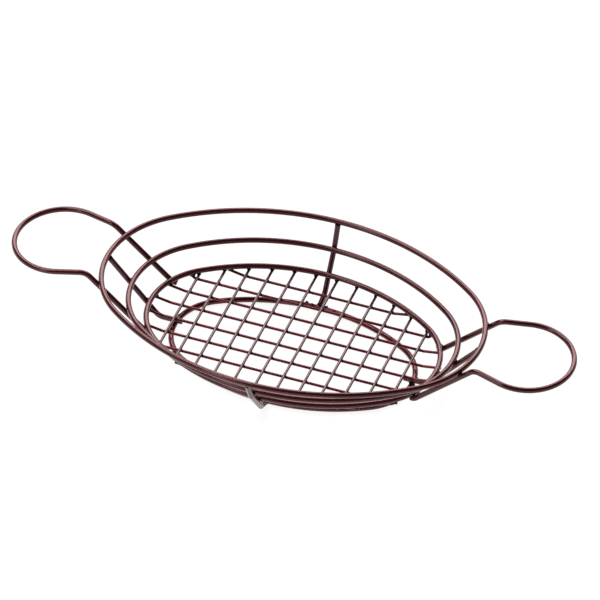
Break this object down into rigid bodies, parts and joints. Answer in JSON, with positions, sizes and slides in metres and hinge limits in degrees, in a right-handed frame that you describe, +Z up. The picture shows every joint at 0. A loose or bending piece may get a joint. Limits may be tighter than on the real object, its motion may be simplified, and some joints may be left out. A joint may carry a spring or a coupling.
{
  "type": "wire serving basket",
  "caption": "Oval serving basket of welded round wire with flared open sides, a raised grid floor and a loop handle at each end.",
  "frame": {"origin": "on the table, under the middle of the foot ring", "axes": "+X along the basket's length from the left handle to the right one, +Y from front to back, +Z up"},
  "size_m": [0.4156, 0.1844, 0.0574],
  "materials": {
    "ring_wire": "glossy metallic maroon-bronze coat",
    "strut_wire": "glossy metallic maroon-bronze coat",
    "handle_wire": "glossy metallic maroon-bronze coat",
    "cross_wire": "glossy metallic maroon-bronze coat",
    "long_wire": "glossy metallic maroon-bronze coat"
  },
  "bodies": {
    "root": {"rim_ring": "ring_wire", "middle_ring": "ring_wire", "base_ring": "ring_wire", "foot_ring": "ring_wire", "left_strut": "strut_wire", "right_strut": "strut_wire", "front_strut": "strut_wire", "back_strut": "strut_wire", "left_handle": "handle_wire", "right_handle": "handle_wire", "cross_wire_1": "cross_wire", "cross_wire_2": "cross_wire", "cross_wire_3": "cross_wire", "cross_wire_4": "cross_wire", "cross_wire_5": "cross_wire", "cross_wire_6": "cross_wire", "cross_wire_7": "cross_wire", "cross_wire_8": "cross_wire", "cross_wire_9": "cross_wire", "cross_wire_10": "cross_wire", "cross_wire_11": "cross_wire", "cross_wire_12": "cross_wire", "long_wire_1": "long_wire", "long_wire_2": "long_wire", "long_wire_3": "long_wire", "long_wire_4": "long_wire", "long_wire_5": "long_wire", "long_wire_6": "long_wire", "long_wire_7": "long_wire", "long_wire_8": "long_wire"}
  },
  "joints": []
}
